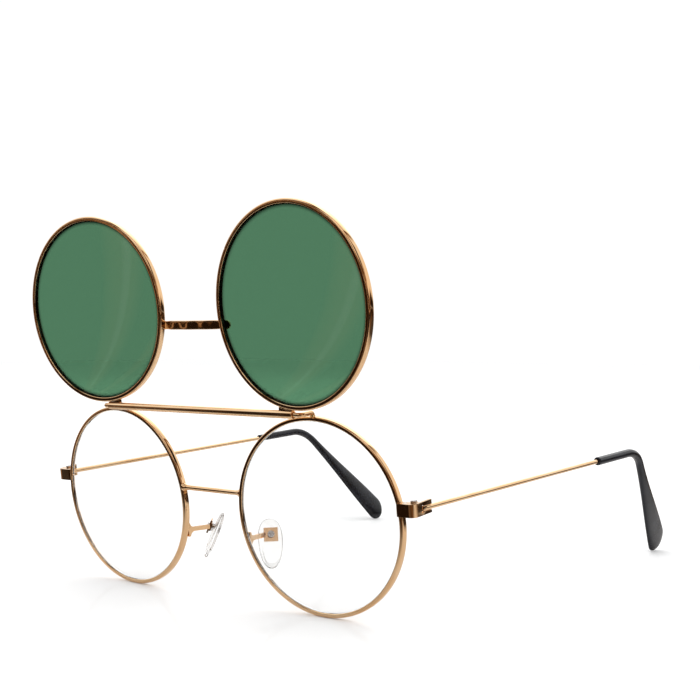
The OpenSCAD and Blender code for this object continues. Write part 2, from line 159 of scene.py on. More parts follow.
def make_piece(name, parts, body, material, replaces=(), sharp=40):
    """One object from a list of (points, faces) parts: doubles merged, faces turned outwards, edges over
    `sharp` degrees kept crisp, riding on a body and standing for the CAD nodes it replaces."""
    points = np.concatenate([np.asarray(p, dtype=float).reshape(-1, 3) for p, _ in parts])
    faces, start = [], 0
    for part_points, part_faces in parts:
        for group in part_faces:
            faces.extend((np.asarray(group) + start).tolist())
        start += np.asarray(part_points).reshape(-1, 3).shape[0]
    mesh = bpy.data.meshes.new(name)
    mesh.from_pydata(points.tolist(), [], faces)
    work = bmesh.new()
    work.from_mesh(mesh)
    bmesh.ops.remove_doubles(work, verts=work.verts, dist=1e-7)
    bmesh.ops.recalc_face_normals(work, faces=work.faces)
    work.to_mesh(mesh)
    work.free()
    mesh.polygons.foreach_set("use_smooth", np.ones(len(mesh.polygons), dtype=bool))
    mesh.set_sharp_from_angle(angle=math.radians(sharp))
    mesh.materials.append(material)
    piece = bpy.data.objects.new(name, mesh)
    bpy.context.scene.collection.objects.link(piece)
    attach(piece, body)
    if replaces:
        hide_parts(*replaces)
    print(f"{name}: {len(mesh.vertices)} points, {len(mesh.polygons)} faces")
    return piece


# %% [markdown]
# A ring is a closed profile of (radius, height) pairs turned about an axis. Each station is turned
# by its own angle, so stations can crowd together where a fine seam needs them.

# %% Turned surfaces
def turned(profile, axis, angles, closed=True, nick=None):
    """Points axis.origin + r*(cos a*axis.u + sin a*axis.v) + h*axis.w for each angle a and profile (r, h).
    An open turn gets its two end faces, and nick(a) lowers the radius of the outer half at an angle."""
    origin, u, v, w = axis
    r, h = profile[:, 0][None, :], profile[:, 1][None, :]
    if nick is not None:
        outer = np.clip((r - r.min()) / (r.max() - r.min()) * 2 - 1, 0, 1)
        r = r - nick(angles)[:, None] * outer
    c, s = np.cos(angles)[:, None, None], np.sin(angles)[:, None, None]
    points = origin + r[..., None] * (c * u + s * v) + h[..., None] * w
    faces = [grid_faces(len(angles), len(profile), closed, True)]
    if not closed:
        last = (len(angles) - 1) * len(profile)
        faces.append([list(range(len(profile)))[::-1], list(range(last, last + len(profile)))])
    return points.reshape(-1, 3), faces


def solid_turned(profile, axis, turns=160):
    """A solid from an open profile that starts and ends on the axis, turned all the way round; the two
    ends on the axis shrink to poles, which the mesh helper merges into one point each."""
    origin, u, v, w = axis
    a = np.linspace(0, 2 * np.pi, turns, endpoint=False)
    r, h = profile[:, 0][None, :, None], profile[:, 1][None, :, None]
    points = origin + r * (np.cos(a)[:, None, None] * u + np.sin(a)[:, None, None] * v) + h * w
    return points.reshape(-1, 3), [grid_faces(turns, len(profile), True, False)]


def arc(x, y, r, start, end, steps):
    """Points (x + r*cos t, y + r*sin t) for t from start to end, in degrees."""
    t = np.radians(np.linspace(start, end, steps))
    return np.stack([x + r * np.cos(t), y + r * np.sin(t)], axis=1)


# %% [markdown]
# A wire is a section carried along a path. At each station the section lies square to the path, and
# its size may change: that is how solder fillets, a tapered end or a flat paddle come about.

# %% Carried sections
def carried(path, size_a, size_b, side, power=2.0, around=40):
    """Sections p + size_a*C(t)*a + size_b*S(t)*b along a path, where b is square to the path and the given
    side, a is square to both, and C, S are cos and sin raised to 2/power: 2 is round, more is squarer."""
    path = np.asarray(path, dtype=float)
    along = np.gradient(path, axis=0)
    along /= np.linalg.norm(along, axis=1, keepdims=True)
    a = np.cross(along, side)
    a /= np.linalg.norm(a, axis=1, keepdims=True)
    b = np.cross(a, along)
    t = np.linspace(0, 2 * np.pi, around, endpoint=False)
    c = np.sign(np.cos(t)) * np.abs(np.cos(t)) ** (2 / power)
    s = np.sign(np.sin(t)) * np.abs(np.sin(t)) ** (2 / power)
    size_a = np.broadcast_to(size_a, len(path))[:, None, None]
    size_b = np.broadcast_to(size_b, len(path))[:, None, None]
    points = path[:, None] + size_a * c[:, None] * a[:, None] + size_b * s[:, None] * b[:, None]
    last = (len(path) - 1) * around
    caps = [list(range(around))[::-1], list(range(last, last + around))]
    return points.reshape(-1, 3), [grid_faces(len(path), around, False, True), caps]


def rounded_corner(before, corner, after, r, steps=14):
    """Points of the arc of radius r that is tangent to both legs of a corner."""
    d1, d2 = before - corner, after - corner
    d1, d2 = d1 / np.linalg.norm(d1), d2 / np.linalg.norm(d2)
    half = np.arccos(np.clip(d1 @ d2, -1, 1)) / 2
    centre = corner + (d1 + d2) / np.linalg.norm(d1 + d2) * r / np.sin(half)
    e1 = corner + d1 * r / np.tan(half) - centre
    e2 = corner + d2 * r / np.tan(half) - centre
    sweep = np.arccos(np.clip(e1 @ e2 / (r * r), -1, 1))
    t = np.linspace(0, 1, steps)[:, None]
    return centre + (np.sin((1 - t) * sweep) * e1 + np.sin(t * sweep) * e2) / np.sin(sweep)


# %% [markdown]
# ## Finishes
# Each finish is a Principled shader fed by noise in Object coordinates. Effects that several
# finishes share are node groups: one lays fine polishing marks, the other a soft cloudiness.

# %% Shared shader groups
def new_group(name, inputs, outputs):
    """An empty shader group with float inputs {name: value} and outputs {name: socket type}."""
    group = bpy.data.node_groups.new(name, "ShaderNodeTree")
    for label, value in inputs.items():
        socket = group.interface.new_socket(label, in_out="INPUT", socket_type="NodeSocketFloat")
        socket.default_value = value
    for label, kind in outputs.items():
        group.interface.new_socket(label, in_out="OUTPUT", socket_type=kind)
    return group, group.nodes.new("NodeGroupInput"), group.nodes.new("NodeGroupOutput")


def add(tree, kind, links=None, **settings):
    """A node with its settings, and with links {input: socket or value}."""
    node = tree.nodes.new(kind)
    for key, value in settings.items():
        setattr(node, key, value)
    for key, value in (links or {}).items():
        if isinstance(value, bpy.types.NodeSocket):
            tree.links.new(value, node.inputs[key])
        else:
            node.inputs[key].default_value = value
    return node


def spread(tree, value, low, high, to_low, to_high):
    """Linear map of a value from one range to another, clamped."""
    node = add(tree, "ShaderNodeMapRange", {"Value": value, "From Min": low, "From Max": high,
                                            "To Min": to_low, "To Max": to_high})
    return node.outputs["Result"]


def polish_marks_group():
    """Fine marks: stretched noise for hairlines, broad noise for wiped areas. Roughness is a base plus
    the wiped areas times their depth; Height is 0.15 * hairlines + Wave * a slow hand-polished waviness."""
    inputs = {"Marks per m": 2500.0, "Base": 0.1, "Depth": 0.1, "Wave": 0.0}
    outputs = {"Roughness": "NodeSocketFloat", "Height": "NodeSocketFloat"}
    group, gin, gout = new_group("polish_marks", inputs, outputs)
    place = add(group, "ShaderNodeTexCoord").outputs["Object"]
    stretched = add(group, "ShaderNodeMapping", {"Vector": place, "Scale": (1.0, 0.12, 0.35)}).outputs[0]
    hair = add(group, "ShaderNodeTexNoise", {"Vector": stretched, "Scale": gin.outputs["Marks per m"],
                                             "Detail": 6.0, "Roughness": 0.7})
    wiped = add(group, "ShaderNodeTexNoise", {"Vector": place, "Scale": 160.0, "Detail": 5.0,
                                              "Roughness": 0.6})
    mask = spread(group, wiped.outputs["Fac"], 0.42, 0.68, 0.0, 1.0)
    extra = add(group, "ShaderNodeMath", {0: mask, 1: gin.outputs["Depth"]}, operation="MULTIPLY")
    rough = add(group, "ShaderNodeMath", {0: extra.outputs[0], 1: gin.outputs["Base"]}, operation="ADD")
    group.links.new(rough.outputs[0], gout.inputs["Roughness"])
    wave = add(group, "ShaderNodeTexNoise", {"Vector": place, "Scale": 420.0, "Detail": 0.0})
    swell = add(group, "ShaderNodeMath", {0: wave.outputs["Fac"], 1: gin.outputs["Wave"]},
                operation="MULTIPLY")
    height = add(group, "ShaderNodeMath", {0: hair.outputs["Fac"], 1: 0.15, 2: swell.outputs[0]},
                 operation="MULTIPLY_ADD")
    group.links.new(height.outputs[0], gout.inputs["Height"])
    return group


def clouding_group():
    """Slow cloudiness: two sizes of noise mixed, spread over 0 to 1."""
    group, gin, gout = new_group("clouding", {"Size per m": 60.0}, {"Cloud": "NodeSocketFloat"})
    place = add(group, "ShaderNodeTexCoord").outputs["Object"]
    slow = add(group, "ShaderNodeTexNoise", {"Vector": place, "Scale": gin.outputs["Size per m"],
                                             "Detail": 3.0, "Distortion": 0.6})
    cloud = spread(group, slow.outputs["Fac"], 0.35, 0.65, 0.0, 1.0)
    group.links.new(cloud, gout.inputs["Cloud"])
    return group


POLISH = polish_marks_group()
CLOUDING = clouding_group()
print("groups:", [g.name for g in bpy.data.node_groups])

# %% [markdown]
# A material starts from one Principled node. Numbers that are the same all over are set on the
# shader itself; only what changes over the surface is linked to it.

# %% Material helper
def new_material(name, **values):
    """A material, its tree and its Principled node, with plain values set on the shader's own sockets."""
    material = bpy.data.materials.new(name)
    material.use_nodes = True
    tree = material.node_tree
    shader = tree.nodes["Principled BSDF"]
    for label, value in values.items():
        shader.inputs[label.replace("_", " ")].default_value = value
    return material, tree, shader


def use_group(tree, group, **values):
    """A group node in a material, with its own input values."""
    node = tree.nodes.new("ShaderNodeGroup")
    node.node_tree = group
    for label, value in values.items():
        node.inputs[label.replace("_", " ")].default_value = value
    return node


def mix_colour(tree, mask, colour_a, colour_b):
    """Colour a where the mask is 0 and b where it is 1."""
    node = add(tree, "ShaderNodeMix", {0: mask}, data_type="RGBA")
    for index, colour in ((6, colour_a), (7, colour_b)):
        if isinstance(colour, bpy.types.NodeSocket):
            tree.links.new(colour, node.inputs[index])
        else:
            node.inputs[index].default_value = (*colour, 1.0)
    return node.outputs[2]


def bump(tree, shader, height, strength, distance):
    """Height to the shader's normal."""
    node = add(tree, "ShaderNodeBump", {"Height": height, "Strength": strength, "Distance": distance})
    tree.links.new(node.outputs["Normal"], shader.inputs["Normal"])


# %% [markdown]
# ## Gold plate
# The wires are a copper-nickel alloy with a thin polished gold layer. Real plate isn't one colour:
# it is redder where the copper shows through and paler where it is thick, and handling dulls it in
# patches. The colour, the roughness and the fine marks all vary, but only a little.

# %% Gold
def gold_plate(name, base, depth, wave):
    """Polished gold: rosy to pale gold by a slow cloud, roughness and marks by the polish group."""
    material, tree, shader = new_material(name, Metallic=1.0)
    marks = use_group(tree, POLISH, Marks_per_m=2600.0, Base=base, Depth=depth, Wave=wave)
    cloud = use_group(tree, CLOUDING, Size_per_m=90.0)
    colour = mix_colour(tree, cloud.outputs["Cloud"], (0.80, 0.50, 0.26), (0.86, 0.60, 0.36))
    tree.links.new(colour, shader.inputs["Base Color"])
    tree.links.new(marks.outputs["Roughness"], shader.inputs["Roughness"])
    bump(tree, shader, marks.outputs["Height"], 0.35, 0.00006)
    return material


GOLD = gold_plate("gold_plate", 0.05, 0.06, 0.3)
GOLD_WORKED = gold_plate("gold_plate_worked", 0.06, 0.08, 9.0)

# %% [markdown]
# ## Lenses
# A lens is a thin curved shell of clear plastic, so it is made as real refracting plastic and not
# as a see-through sheet. The shader takes the square root of its colour at each face, so the colour
# set here is the tint of the whole lens. Towards its bevelled edge each lens is darkened by painted
# shade: almost black on the tinted lens, a little grey on the clear one.

# %% Lens materials
def lens_plastic(name, tint, painted_edge_shade, ior, base, depth):
    """Clear or tinted plastic: full transmission, tint darkened by painted shade towards the edge by the
    piece's edge attribute, faint wipe marks.
    """
    material, tree, shader = new_material(name, IOR=ior)
    shader.inputs["Transmission Weight"].default_value = 1.0
    # The edge attribute mixes in the second colour as painted shade at the lens's bevelled edge.
    edge = add(tree, "ShaderNodeAttribute", attribute_name="edge").outputs["Fac"]
    colour = mix_colour(tree, edge, tint, painted_edge_shade)
    tree.links.new(colour, shader.inputs["Base Color"])
    marks = use_group(tree, POLISH, Marks_per_m=400.0, Base=base, Depth=depth)
    tree.links.new(marks.outputs["Roughness"], shader.inputs["Roughness"])
    return material


LENS_IOR = 1.49
# The second colour of each lens is painted shade at its bevelled edge.
CLEAR = lens_plastic("clear_lens", (0.985, 0.99, 0.99), (0.90, 0.93, 0.93), LENS_IOR, 0.0, 0.012)
TINTED = lens_plastic("tinted_lens", (0.085, 0.212, 0.118), (0.0008, 0.0015, 0.001), LENS_IOR, 0.0, 0.02)

# %% [markdown]
# ## Pads, screws and tips
# The pads are soft clear silicone, a little milky. The screws are bright steel. The tips are black
# acetate, glossy but with the faint orange-peel of moulding and a dusty, slightly bluish sheen.

# %% Other materials
def silicone():
    """Clear silicone: low refraction, slightly rough, with a soft cloudiness in its colour."""
    material, tree, shader = new_material("pad_silicone", IOR=1.41)
    shader.inputs["Transmission Weight"].default_value = 1.0
    cloud = use_group(tree, CLOUDING, Size_per_m=420.0)
    colour = mix_colour(tree, cloud.outputs["Cloud"], (0.91, 0.905, 0.89), (0.97, 0.965, 0.955))
    tree.links.new(colour, shader.inputs["Base Color"])
    marks = use_group(tree, POLISH, Marks_per_m=900.0, Base=0.07, Depth=0.12)
    tree.links.new(marks.outputs["Roughness"], shader.inputs["Roughness"])
    return material


def screw_steel():
    """Bright turned steel with fine marks."""
    material, tree, shader = new_material("screw_steel", Metallic=1.0)
    cloud = use_group(tree, CLOUDING, Size_per_m=700.0)
    colour = mix_colour(tree, cloud.outputs["Cloud"], (0.62, 0.63, 0.65), (0.78, 0.78, 0.79))
    tree.links.new(colour, shader.inputs["Base Color"])
    marks = use_group(tree, POLISH, Marks_per_m=5200.0, Base=0.16, Depth=0.16)
    tree.links.new(marks.outputs["Roughness"], shader.inputs["Roughness"])
    bump(tree, shader, marks.outputs["Height"], 0.1, 0.00002)
    return material


def tip_acetate():
    """Black acetate: blue-black to grey-black by a slow cloud, an even coat, fine moulding texture."""
    material, tree, shader = new_material("tip_acetate", IOR=1.45)
    shader.inputs["Specular IOR Level"].default_value = 0.36
    cloud = use_group(tree, CLOUDING, Size_per_m=150.0)
    colour = mix_colour(tree, cloud.outputs["Cloud"], (0.003, 0.004, 0.006), (0.009, 0.011, 0.016))
    tree.links.new(colour, shader.inputs["Base Color"])
    marks = use_group(tree, POLISH, Marks_per_m=1500.0, Base=0.16, Depth=0.16)
    tree.links.new(marks.outputs["Roughness"], shader.inputs["Roughness"])
    bump(tree, shader, marks.outputs["Height"], 0.12, 0.00004)
    return material


SILICONE = silicone()
STEEL = screw_steel()
ACETATE = tip_acetate()
print("materials:", [m.name for m in bpy.data.materials if m.users])

# %% [markdown]
# ## Eye rims
# A rim is drawn wire of channel section: domed outside, with rounded lips and a V groove inside
# that grips the lens. The frame's rims are split at the lock, so they are open rings. The flip's
# rims are closed by a butt joint, which shows as a fine nick.

# %% Rim sizes
RIM_IN, RIM_OUT, RIM_DEPTH = 25.0, 26.15, 1.9
FLIP_OUT, FLIP_DEPTH = 25.85, 2.0
FLIP_IN = FLIP_OUT - 1.2
WRAP = 2.7
GROOVE = 0.5
LIP_R = 0.38
DOME = 0.1
LOCK_GAP = 0.2
SEAM_AT, SEAM_WIDTH, SEAM_DEEP = 145.0, 0.10, 0.22
SEAM_FINE = 0.012


def rim_profile(r_in, r_out, depth):
    """Closed (radius, height) outline in metres: rounded lips, a domed outer face that bulges by
    DOME*(1 - (2h/depth)^2), and the V groove inside."""
    half, k = depth / 2, LIP_R
    outer = arc(r_out - k - DOME, -half + k, k, -90, 0, 8), arc(r_out - k - DOME, half - k, k, 0, 90, 8)
    rise = np.linspace(-half + k, half - k, 9)[1:-1]
    face = np.stack([np.full(7, r_out - DOME), rise], axis=1)
    inner_top = arc(r_in + k / 2, half - k / 2, k / 2, 90, 180, 5)
    groove = np.array([[r_in, GROOVE], [r_in + GROOVE * 0.5, GROOVE * 0.45], [r_in + GROOVE, 0],
                       [r_in + GROOVE * 0.5, -GROOVE * 0.45], [r_in, -GROOVE]])
    inner_low = arc(r_in + k / 2, -half + k / 2, k / 2, 180, 270, 5)
    outline = np.concatenate([outer[0], face, outer[1], inner_top, groove, inner_low])
    bulge = DOME * (1 - np.clip(2 * outline[:, 1] / depth, -1, 1) ** 2)
    outline[:, 0] += np.where(outline[:, 0] > (r_in + r_out) / 2, bulge, 0)
    return outline * MM


def ring_axis(x, y, z, turn, facing):
    """(origin, u, v, w) of a ring at a place on the front: w is its axis, towards `facing` along back, and
    it is turned by `turn` degrees about up."""
    c, s = math.cos(math.radians(turn)), math.sin(math.radians(turn))
    u = c * ACROSS + s * BACK
    w = facing * (c * BACK - s * ACROSS)
    return on_front([x, y, z]), u, UP, w


def rim_axis(side):
    """The axis of a rim of the frame; its outer edge is swept back."""
    return ring_axis(SIDES[side] * LENS_X, 0, 0, SIDES[side] * WRAP, -1)


def flip_axis(side):
    """The axis of a flip rim while it is up; its outer edge is swept forward."""
    return ring_axis(SIDES[side] * LENS_X, HINGE[1], FLIP_UP, -SIDES[side] * WRAP, 1)


# %% Make the eye rims
for side, sign in SIDES.items():
    lock = math.asin(FOLD[2] / RIM_OUT)
    lock = lock if sign > 0 else math.pi - lock
    gap = LOCK_GAP / 2 / RIM_OUT
    angles = np.linspace(lock + gap, lock + 2 * np.pi - gap, 288)
    ring = turned(rim_profile(RIM_IN, RIM_OUT, RIM_DEPTH), rim_axis(side), angles, closed=False)
    make_piece(f"eye_rim_{side}", [ring], "frame", GOLD, [f"rim_{side}"])

seam = math.radians(SEAM_AT)
fine = np.linspace(-SEAM_FINE, SEAM_FINE, 25)
angles = np.linspace(0.02, 2 * np.pi - 0.02, 288)
angles = np.unique(np.concatenate([angles[np.abs(angles - seam) > SEAM_FINE + 0.001], seam + fine]))


def seam_nick(a):
    """Depth of the butt joint at angle a: SEAM_DEEP * exp(-((a - seam)*r/width)^2)."""
    return SEAM_DEEP * MM * np.exp(-(((a - seam) * FLIP_OUT / SEAM_WIDTH) ** 2))


for side in SIDES:
    ring = turned(rim_profile(FLIP_IN, FLIP_OUT, FLIP_DEPTH), flip_axis(side), angles, nick=seam_nick)
    make_piece(f"flip_eye_rim_{side}", [ring], "flip", GOLD, [f"flip_rim_{side}"])

# %% [markdown]
# ## Lens shells
# Both faces of a lens are parts of spheres, so a lens is one open profile turned about its axis.
# Each point also stores how close it is to the edge, and the material paints shade there from that value.

# %% Make the lenses
LENS_THICK = 1.3
LENS_CURVE = 180.0
LENS_LAND = 0.12
BEVEL = 0.44


def lens_profile(r_in):
    """Open (radius, height) profile from axis to axis: sphere, land, bevel, land, sphere. The height of a
    face at r is sqrt(R^2 - r^2) - sqrt(R^2 - edge^2), plus or minus half the thickness."""
    edge = r_in - LENS_LAND
    r = edge * np.linspace(0, 1, 40) ** 0.8
    dome = np.sqrt(LENS_CURVE**2 - r**2) - math.sqrt(LENS_CURVE**2 - edge**2)
    front = np.stack([r, dome + LENS_THICK / 2], axis=1)
    back = np.stack([r[::-1], dome[::-1] - LENS_THICK / 2], axis=1)
    bevel = np.array([[edge + 0.02, BEVEL], [edge + LENS_LAND + BEVEL, 0], [edge + 0.02, -BEVEL]])
    return np.concatenate([front, bevel, back]) * MM


def store_painted_edge_shade(piece, axis, dark_from, dark_to):
    """Point attribute `edge`, the mask of the painted edge shade: 0 inside radius dark_from, rising to 1 at
    dark_to, by a smooth step.
    """
    origin, u, v, w = axis
    count = len(piece.data.vertices)
    points = np.empty(count * 3)
    piece.data.vertices.foreach_get("co", points)
    d = points.reshape(-1, 3) - origin
    r = np.hypot(d @ u, d @ v) / MM
    t = np.clip((r - dark_from) / (dark_to - dark_from), 0, 1)
    values = (t * t * (3 - 2 * t)).astype(np.float32)
    piece.data.attributes.new("edge", "FLOAT", "POINT").data.foreach_set("value", values)


for side in SIDES:
    shell = solid_turned(lens_profile(RIM_IN), rim_axis(side))
    lens = make_piece(f"clear_shell_{side}", [shell], "frame", CLEAR,
                      [f"clear_lens_{side}"], sharp=25)
    # Mask of the painted shade at each lens's bevelled edge.
    store_painted_edge_shade(lens, rim_axis(side), RIM_IN - 0.3, RIM_IN)
    shell = solid_turned(lens_profile(FLIP_IN), flip_axis(side))
    lens = make_piece(f"tinted_shell_{side}", [shell], "flip", TINTED,
                      [f"tinted_lens_{side}"], sharp=25)
    store_painted_edge_shade(lens, flip_axis(side), FLIP_IN - 0.66, FLIP_IN - 0.58)

# %% [markdown]
# ## Bridge wire
# The bridge is a plain round wire butted against both rims. Solder creeps a little way along it at
# each end, so its radius grows smoothly there: that fillet is what makes it look joined.

# %% Make the bridge wire
BRIDGE_UP, BRIDGE_R = 4.6, 0.7
FILLET, FILLET_LEN = 0.5, 0.55
bridge_end = LENS_X - math.sqrt((RIM_OUT - 0.4) ** 2 - BRIDGE_UP**2)
bridge_back = -RIM_OUT * math.sin(math.radians(WRAP))
x = np.linspace(-bridge_end, bridge_end, 90)
swell = FILLET * np.exp(-(((bridge_end - 0.4 - np.abs(x)).clip(0)) / FILLET_LEN) ** 1.5)
path = on_front(np.stack([x, np.full_like(x, bridge_back), np.full_like(x, BRIDGE_UP)], axis=1))
wire = carried(path, (BRIDGE_R + swell * 0.7) * MM, (BRIDGE_R + swell) * MM, UP)
make_piece("bridge", [wire], "frame", GOLD, ["bridge_wire"])

# %% [markdown]
# ## Hinge rod and tube
# The rod is one wire bent twice at each end: out of the tube, back over the top of the rim and down
# onto it. The tube is a pipe with rounded mouths. Bends get a real inside radius, as bent wire has.

# %% Make the rod and the tube
ROD_R, TUBE_R, TUBE_HALF = 0.6, 1.05, 34.4
ROD_ARM_X = TUBE_HALF + 2.4
BEND_R, FOOT_BEND_R, SOLDER = 1.0, 0.62, 0.45
foot = RIM_OUT - 0.35
corners = np.array([
    [0, HINGE[1], HINGE[2]],
    [ROD_ARM_X, HINGE[1], HINGE[2]],
    [ROD_ARM_X, 0.0, HINGE[2]],
    [ROD_ARM_X, 0.0, foot],
])
half_path = np.concatenate([
    np.linspace(corners[0], corners[1] - [BEND_R * 1.05, 0, 0], 20),
    rounded_corner(corners[0], corners[1], corners[2], BEND_R),
    np.linspace(corners[1] + [0, BEND_R * 1.1, 0], corners[2] - [0, 0.75, 0], 8),
    rounded_corner(corners[1], corners[2], corners[3], FOOT_BEND_R, steps=10),
    np.linspace(corners[2] - [0, 0, 0.68], corners[3], 6),
])
other_half = half_path[:0:-1] * np.array([-1, 1, 1])
rod_path = on_front(np.concatenate([other_half, half_path]))
rod_height = (rod_path - FRONT_MIDDLE) @ UP / MM
foot_swell = SOLDER * np.clip((HINGE[2] - 0.35 - rod_height) / 0.8, 0, 1) ** 2
# No leg of the rod runs along this direction, so it can orient the section all the way.
skew = np.tile(np.array([0.31, 0.62, 0.72]), (len(rod_path), 1))
rod = carried(rod_path, (ROD_R + foot_swell) * MM, (ROD_R + foot_swell) * MM, skew, around=28)
make_piece("hinge_rod", [rod], "frame", GOLD, ["flip_hinge_rod"])

tube_bore = ROD_R + 0.05
lip = 0.12
tube_profile = np.concatenate([
    arc(TUBE_R - lip, TUBE_HALF - lip, lip, 0, 90, 5),
    arc(tube_bore + lip, TUBE_HALF - lip, lip, 90, 180, 5),
    arc(tube_bore + lip, -TUBE_HALF + lip, lip, 180, 270, 5),
    arc(TUBE_R - lip, -TUBE_HALF + lip, lip, 270, 360, 5),
]) * MM
tube_axis = (on_front(HINGE), BACK, UP, ACROSS)
tube = turned(tube_profile, tube_axis, np.linspace(0, 2 * np.pi, 72, endpoint=False))
make_piece("hinge_tube", [tube], "flip", GOLD, ["flip_hinge_tube"])

# %% [markdown]
# ## Flip bridge
# A thin strip, bowed away from the nose, joins the flip's rims. Its ends are rounded and lie over
# the rims, where solder holds them. It is a flat section carried along a shallow arc. A slow wave
# along it, a tenth of a millimetre deep, breaks up what it mirrors: no bent strip is quite even.

# %% Make the flip bridge
STRIP_H, STRIP_T, STRIP_BOW = 2.4, 0.75, 0.9
STRIP_WAVE, STRIP_WAVE_LEN = 0.10, 6.4
STRIP_DOWN, LUG = 4.6, 1.3
strip_end = LENS_X - math.sqrt(FLIP_IN**2 - STRIP_DOWN**2) + LUG
strip_back = HINGE[1] + FLIP_DEPTH / 2 + FLIP_OUT * math.sin(math.radians(WRAP)) + 0.35
bow_r = (strip_end**2 + STRIP_BOW**2) / (2 * STRIP_BOW)
x = strip_end * np.sin(np.linspace(-np.pi / 2, np.pi / 2, 161))
y = strip_back - STRIP_BOW + bow_r - np.sqrt(bow_r**2 - x**2)
y += STRIP_WAVE * np.sin(2 * np.pi * x / STRIP_WAVE_LEN) * (1 - (x / strip_end) ** 2)
path = on_front(np.stack([x, y, np.full_like(x, FLIP_UP - STRIP_DOWN)], axis=1))
from_end = strip_end - np.abs(x)
round_end = np.sqrt(1 - np.clip(1 - from_end / (STRIP_H / 2), 0, 1) ** 2 * 0.9999)
pinch = 1 - 0.08 * np.exp(-((from_end - 3.2) / 1.2) ** 2)
strip_thick = STRIP_T / 2 * MM * np.clip(round_end + 0.3, 0, 1)
strip_tall = STRIP_H / 2 * MM * round_end * pinch
strip = carried(path, strip_thick, strip_tall, UP, power=5.0, around=48)
make_piece("flip_bridge_strip", [strip], "flip", GOLD, ["flip_bridge"])

# %% [markdown]
# ## Temples
# Each temple is a straight wire that runs on inside its black tip. It starts with a round nose in
# the slot of the hinge leaf, and solder fills the slot round it. The tip is a sleeve that begins
# blunt and round, bends down behind the ear, and flattens and widens into a paddle with a round end.

# %% Temple line
WIRE_X, WIRE_R, WIRE_START = 1.35, 0.65, 2.2
PANTOSCOPIC, SPLAY = 3.4, 1.0
TIP_START, TIP_TO_BEND = 87.9, 25.2
EAR_BEND, EAR_INSET, EAR_R = 48.6, 14.5, 14.0
TIP_R, TIP_THIN, PADDLE_HALF, PADDLE_GROW = 1.19, 0.93, 4.5, 42.0
SLEEVE_SHORT = 0.08


def turn(vector, axis, degrees):
    """The vector turned about a unit axis: v*cos + (k x v)*sin + k*(k.v)*(1 - cos)."""
    a = math.radians(degrees)
    v, k = np.asarray(vector, dtype=float), np.asarray(axis, dtype=float)
    return v * math.cos(a) + np.cross(k, v) * math.sin(a) + k * (k @ v) * (1 - math.cos(a))


def temple_directions(sign):
    """Along and up directions of a temple's wire on the front, and the up direction of its bent tip."""
    x_axis = np.array([1.0, 0, 0])
    along = turn(turn([0, 1.0, 0], [0, 0, 1.0], -sign * SPLAY), x_axis, -PANTOSCOPIC)
    above = turn([0, 0, 1.0], x_axis, -PANTOSCOPIC)
    tip_up = turn(above, along, sign * EAR_INSET)
    return along, above, tip_up


bend_tangent = EAR_R * math.tan(math.radians(EAR_BEND / 2))
bend_start = TIP_TO_BEND - bend_tangent
bend_len = EAR_R * math.radians(EAR_BEND)
print("the tip's bend starts", round(bend_start, 2), "mm along it and is", round(bend_len, 2), "mm long")


def tip_line(s):
    """(along, up) of the tip's line at lengths s from its start: straight, then an arc of EAR_R, then
    straight."""
    turned_by = np.clip((s - bend_start) / bend_len, 0, 1) * math.radians(EAR_BEND)
    past = np.clip(s - bend_start - bend_len, 0, None)
    x = np.minimum(s, bend_start) + EAR_R * np.sin(turned_by) + past * np.cos(turned_by)
    y = -EAR_R * (1 - np.cos(turned_by)) - past * np.sin(turned_by)
    return x, y


# The tip ends where its paddle touches the table: the last length comes from the front's height and lean.
# It is a hair slimmer and shorter than the CAD's faceted tip, so that its rounder section stays inside.
lean = math.atan2(-UP[1], UP[2])
pitch = lean - math.radians(PANTOSCOPIC)
ear_bend, ear_inset = math.radians(EAR_BEND), math.radians(EAR_INSET)
corner_up = FRONT_MIDDLE[2] / MM + FOLD[1] * math.sin(lean) + FOLD[2] * math.cos(lean)
corner_up += (TIP_START + TIP_TO_BEND) * math.cos(math.radians(SPLAY)) * math.sin(pitch)
fall = math.sin(ear_bend) * math.cos(ear_inset) * math.cos(pitch) - math.cos(ear_bend) * math.sin(pitch)
leg_len = (corner_up - PADDLE_HALF) / fall - bend_tangent + PADDLE_HALF - SLEEVE_SHORT
TIP_LEN = bend_start + bend_len + leg_len
print("tip length", round(TIP_LEN, 2), "mm")


# %% Make the temples
def smooth(t):
    """3t^2 - 2t^3 on 0 to 1."""
    t = np.clip(t, 0, 1)
    return t * t * (3 - 2 * t)


def rod_part(start, along):
    """The temple's wire, with a round nose where it enters the leaf: radius R*sqrt(length / 0.6 mm)."""
    nose = np.linspace(WIRE_START - 0.24, WIRE_START + 1.4, 14)
    s = np.concatenate([nose, np.linspace(WIRE_START + 1.6, TIP_START + 6, 60)])
    taper = WIRE_R * np.sqrt(np.clip((s - WIRE_START + 0.28) / 0.6, 0, 1))
    line = on_front(start + s[:, None] * along)
    return carried(line, taper * MM, taper * MM, np.tile(UP, (len(s), 1)), around=32)


def tongue_part(start, along, sign):
    """The solder that fills the leaf's slot round the wire: a flat section that narrows to the wire's."""
    s = np.linspace(WIRE_START - 0.9, WIRE_START + 1.9, 16)
    narrow = smooth((s - WIRE_START - 0.9) / 1.0)
    line = on_front(start + [sign * 0.22, 0, 0] * (1 - narrow[:, None]) + s[:, None] * along)
    flat, tall = 0.30 + 0.3 * narrow, 0.67 - 0.07 * narrow
    return carried(line, flat * MM, tall * MM, np.tile(UP, (len(s), 1)), power=5.0)


